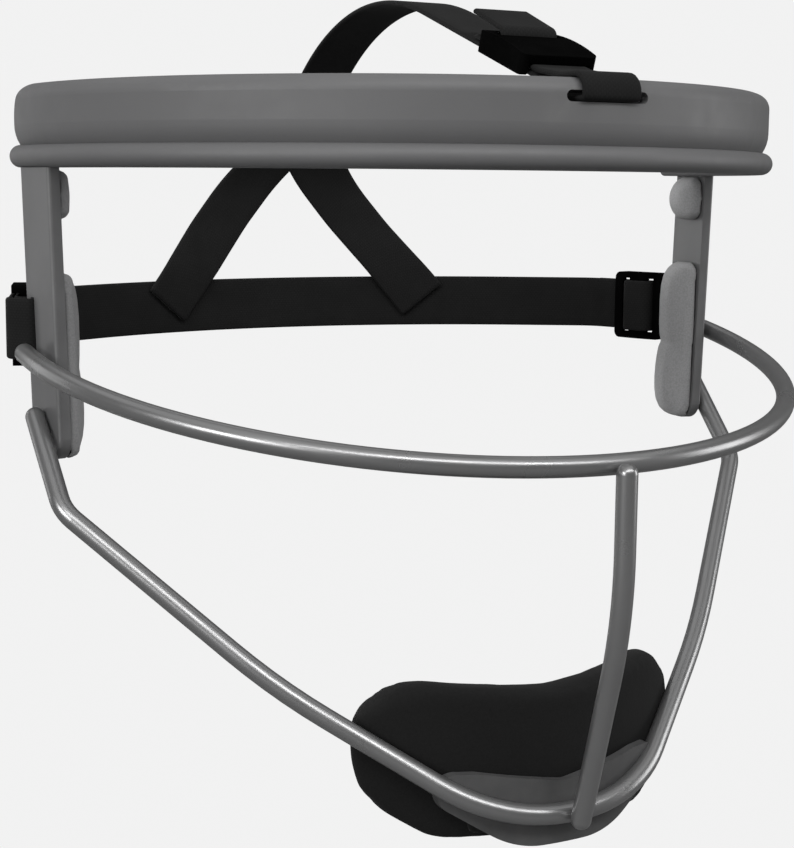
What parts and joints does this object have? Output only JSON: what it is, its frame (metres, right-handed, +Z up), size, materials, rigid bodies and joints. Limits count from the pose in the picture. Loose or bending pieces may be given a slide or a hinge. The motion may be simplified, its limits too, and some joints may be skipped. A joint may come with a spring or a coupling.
{
  "type": "fielding face guard",
  "caption": "Softball face guard: a moulded brow band on steel side arms with a welded wire cage, foam brow, temple, cheek and chin pads, and webbing straps with slide buckles.",
  "frame": {"origin": "the middle of the head opening at the height of the middle of the brow bead, half way between the side arms and level with their front edges", "axes": "+Z up, -Y the way the guard faces, +X to the right as one faces it (the wearer's left)"},
  "size_m": [0.2076, 0.1808, 0.1978],
  "materials": {
    "band_plastic": "satin moulded",
    "liner_foam": "soft foam with a smooth skin",
    "rod_steel": "plain",
    "arm_coat": "satin coated",
    "hook_fabric": "hook-and-loop",
    "pad_foam": "soft foam with a smooth skin",
    "cage_steel": "satin, dark grey",
    "plate_coat": "satin coated",
    "chin_foam": "soft foam with a matt fabric skin",
    "webbing": "woven",
    "buckle_plastic": "moulded"
  },
  "bodies": {
    "guard": {"headband_shell": "band_plastic", "headband_liner": "liner_foam", "brow_rod": "rod_steel", "left_arm": "arm_coat", "right_arm": "arm_coat", "left_hook_strips": "hook_fabric", "right_hook_strips": "hook_fabric", "left_temple_pad": "pad_foam", "right_temple_pad": "pad_foam", "left_cheek_pad": "pad_foam", "right_cheek_pad": "pad_foam", "upper_bar": "cage_steel", "lower_bar": "cage_steel", "centre_bar": "cage_steel", "chin_plate": "plate_coat", "chin_hook_patch": "hook_fabric", "chin_pad": "chin_foam", "rear_strap": "webbing", "left_strap_leg": "webbing", "right_strap_leg": "webbing", "top_strap": "webbing"},
    "top_slider": {"top_buckle": "buckle_plastic", "top_strap_tail": "webbing"},
    "left_slider": {"left_buckle": "buckle_plastic", "left_bar_turn": "webbing"},
    "right_slider": {"right_buckle": "buckle_plastic", "right_bar_turn": "webbing"}
  },
  "joints": [
    {"name": "top_buckle_slide", "type": "slide", "parent": "guard", "child": "top_slider", "axis": [0, 0.9455, 0.3256], "range_m": [0, 0.01]},
    {"name": "left_buckle_slide", "type": "slide", "parent": "guard", "child": "left_slider", "axis": [0.309, 0.9511, 0], "range_m": [0, 0.005]},
    {"name": "right_buckle_slide", "type": "slide", "parent": "guard", "child": "right_slider", "axis": [-0.309, 0.9511, 0], "range_m": [0, 0.005]}
  ]
}
